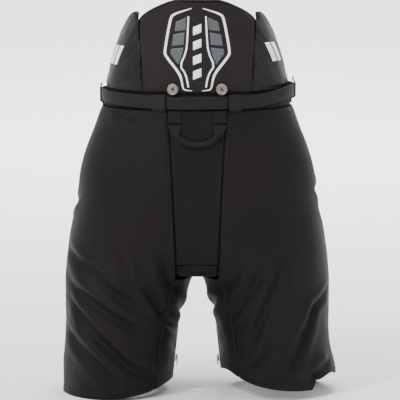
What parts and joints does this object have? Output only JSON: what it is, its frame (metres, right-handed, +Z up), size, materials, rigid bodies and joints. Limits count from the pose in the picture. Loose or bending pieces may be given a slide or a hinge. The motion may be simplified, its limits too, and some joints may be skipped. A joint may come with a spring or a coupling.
{
  "type": "hockey pants",
  "caption": "Padded ice hockey pants with thigh, hip, tailbone, spine and kidney pads, a webbing belt with lever buckle, hook-on suspender buttons and a rear carry handle.",
  "frame": {"origin": "on the ground under the middle of the whole piece, the pants standing upright on their two flat hems", "axes": "+Z up, +Y towards the wearer's front, +X towards the wearer's right"},
  "size_m": [0.4296, 0.2472, 0.63],
  "materials": {
    "shell_fabric": "dense black polyester weave, slightly glossy",
    "stretch_knit": "matte black stretch knit",
    "binding_tape": "flat black binding tape",
    "mesh_lining": "black tricot mesh",
    "pad_foam": "closed-cell foam, matte grey",
    "cap_plastic": "moulded polyethylene, black",
    "spine_fabric": "brown-black woven cover with a printed pattern",
    "kidney_nylon": "shiny black nylon, lightly wrinkled",
    "belt_webbing": "black woven webbing",
    "handle_webbing": "charcoal woven webbing",
    "buckle_plastic": "black acetal",
    "button_metal": "nickel-plated pressed metal, rimmed",
    "zip_tape": "black woven zip tape with moulded teeth",
    "zip_metal": "nickel-plated metal"
  },
  "bodies": {
    "root": {"back_panel_right": "shell_fabric", "back_panel_left": "shell_fabric", "front_panel_right": "shell_fabric", "front_panel_left": "shell_fabric", "inner_leg_panel_right": "shell_fabric", "inner_leg_panel_left": "shell_fabric", "back_gusset": "stretch_knit", "crotch_gusset": "stretch_knit", "fly_facing": "stretch_knit", "hem_binding_right": "binding_tape", "hem_binding_left": "binding_tape", "waistband": "binding_tape", "back_lining_right": "mesh_lining", "back_lining_left": "mesh_lining", "front_lining_right": "mesh_lining", "front_lining_left": "mesh_lining", "thigh_pad_foam_right": "pad_foam", "thigh_pad_foam_left": "pad_foam", "hip_pad_foam_right": "pad_foam", "hip_pad_foam_left": "pad_foam", "tailbone_foam": "pad_foam", "thigh_pad_cap_right": "cap_plastic", "thigh_pad_cap_left": "cap_plastic", "hip_pad_cap_right": "cap_plastic", "hip_pad_cap_left": "cap_plastic", "tailbone_cap": "cap_plastic", "belt_webbing": "belt_webbing", "belt_tail": "belt_webbing", "back_belt_loop_right": "belt_webbing", "back_belt_loop_left": "belt_webbing", "side_belt_loop_right": "belt_webbing", "side_belt_loop_left": "belt_webbing", "handle_tab_right": "handle_webbing", "handle_tab_left": "handle_webbing", "buckle_frame": "buckle_plastic", "front_button_inner_right": "button_metal", "front_button_inner_left": "button_metal", "front_button_outer_right": "button_metal", "front_button_outer_left": "button_metal", "zip_tape_right": "zip_tape", "zip_tape_left": "zip_tape", "buckle_pin": "zip_metal"},
    "handle": {"carry_handle": "handle_webbing"},
    "buckle_lever": {"buckle_lever": "buckle_plastic"},
    "fly_flap": {"fly_flap": "shell_fabric"},
    "spine_pad": {"spine_pad_cover": "spine_fabric", "spine_pad_insert": "cap_plastic", "spine_pad_lining": "mesh_lining", "back_button_right": "button_metal", "back_button_left": "button_metal"},
    "kidney_pad_right": {"kidney_pad_cover_right": "kidney_nylon", "kidney_pad_insert_right": "cap_plastic"},
    "zip_slider_right": {"zip_slider_right": "zip_metal"},
    "zip_pull_right": {"zip_pull_right": "zip_metal"},
    "kidney_pad_left": {"kidney_pad_cover_left": "kidney_nylon", "kidney_pad_insert_left": "cap_plastic"},
    "zip_slider_left": {"zip_slider_left": "zip_metal"},
    "zip_pull_left": {"zip_pull_left": "zip_metal"}
  },
  "joints": [
    {"name": "handle_swing", "type": "hinge", "parent": "root", "child": "handle", "pos_m": [0, -0.1086, 0.437], "axis": [-1, 0, 0], "range_deg": [0, 125]},
    {"name": "buckle_lever_open", "type": "hinge", "parent": "root", "child": "buckle_lever", "pos_m": [-0.011, 0.11629, 0.47], "axis": [0, 0, 1], "range_deg": [0, 110]},
    {"name": "fly_flap_open", "type": "hinge", "parent": "root", "child": "fly_flap", "pos_m": [-0.025, 0.1263, 0.294], "axis": [0, -0.0863, 0.9963], "range_deg": [0, 100]},
    {"name": "spine_pad_flex", "type": "hinge", "parent": "root", "child": "spine_pad", "pos_m": [0, -0.0985, 0.484], "axis": [1, 0, 0], "range_deg": [0, 20], "stiffness_Nm_per_rad": 4},
    {"name": "kidney_pad_flex_right", "type": "hinge", "parent": "root", "child": "kidney_pad_right", "pos_m": [0.1425, -0.0245, 0.484], "axis": [0.3281, 0.9446, 0], "range_deg": [0, 15], "stiffness_Nm_per_rad": 3},
    {"name": "leg_zip_slide_right", "type": "slide", "parent": "root", "child": "zip_slider_right", "axis": [-0.1087, 0, 0.9941], "range_m": [0, 0.042]},
    {"name": "zip_pull_swing_right", "type": "hinge", "parent": "zip_slider_right", "child": "zip_pull_right", "pos_m": [0.0314, 0.00112, 0.0535], "axis": [0, 1, 0], "range_deg": [0, 150]},
    {"name": "kidney_pad_flex_left", "type": "hinge", "parent": "root", "child": "kidney_pad_left", "pos_m": [-0.1425, -0.0245, 0.484], "axis": [0.3281, -0.9446, 0], "range_deg": [0, 15], "stiffness_Nm_per_rad": 3},
    {"name": "leg_zip_slide_left", "type": "slide", "parent": "root", "child": "zip_slider_left", "axis": [0.1087, 0, 0.9941], "range_m": [0, 0.042]},
    {"name": "zip_pull_swing_left", "type": "hinge", "parent": "zip_slider_left", "child": "zip_pull_left", "pos_m": [-0.0314, 0.00112, 0.0535], "axis": [0, -1, 0], "range_deg": [0, 150]}
  ]
}
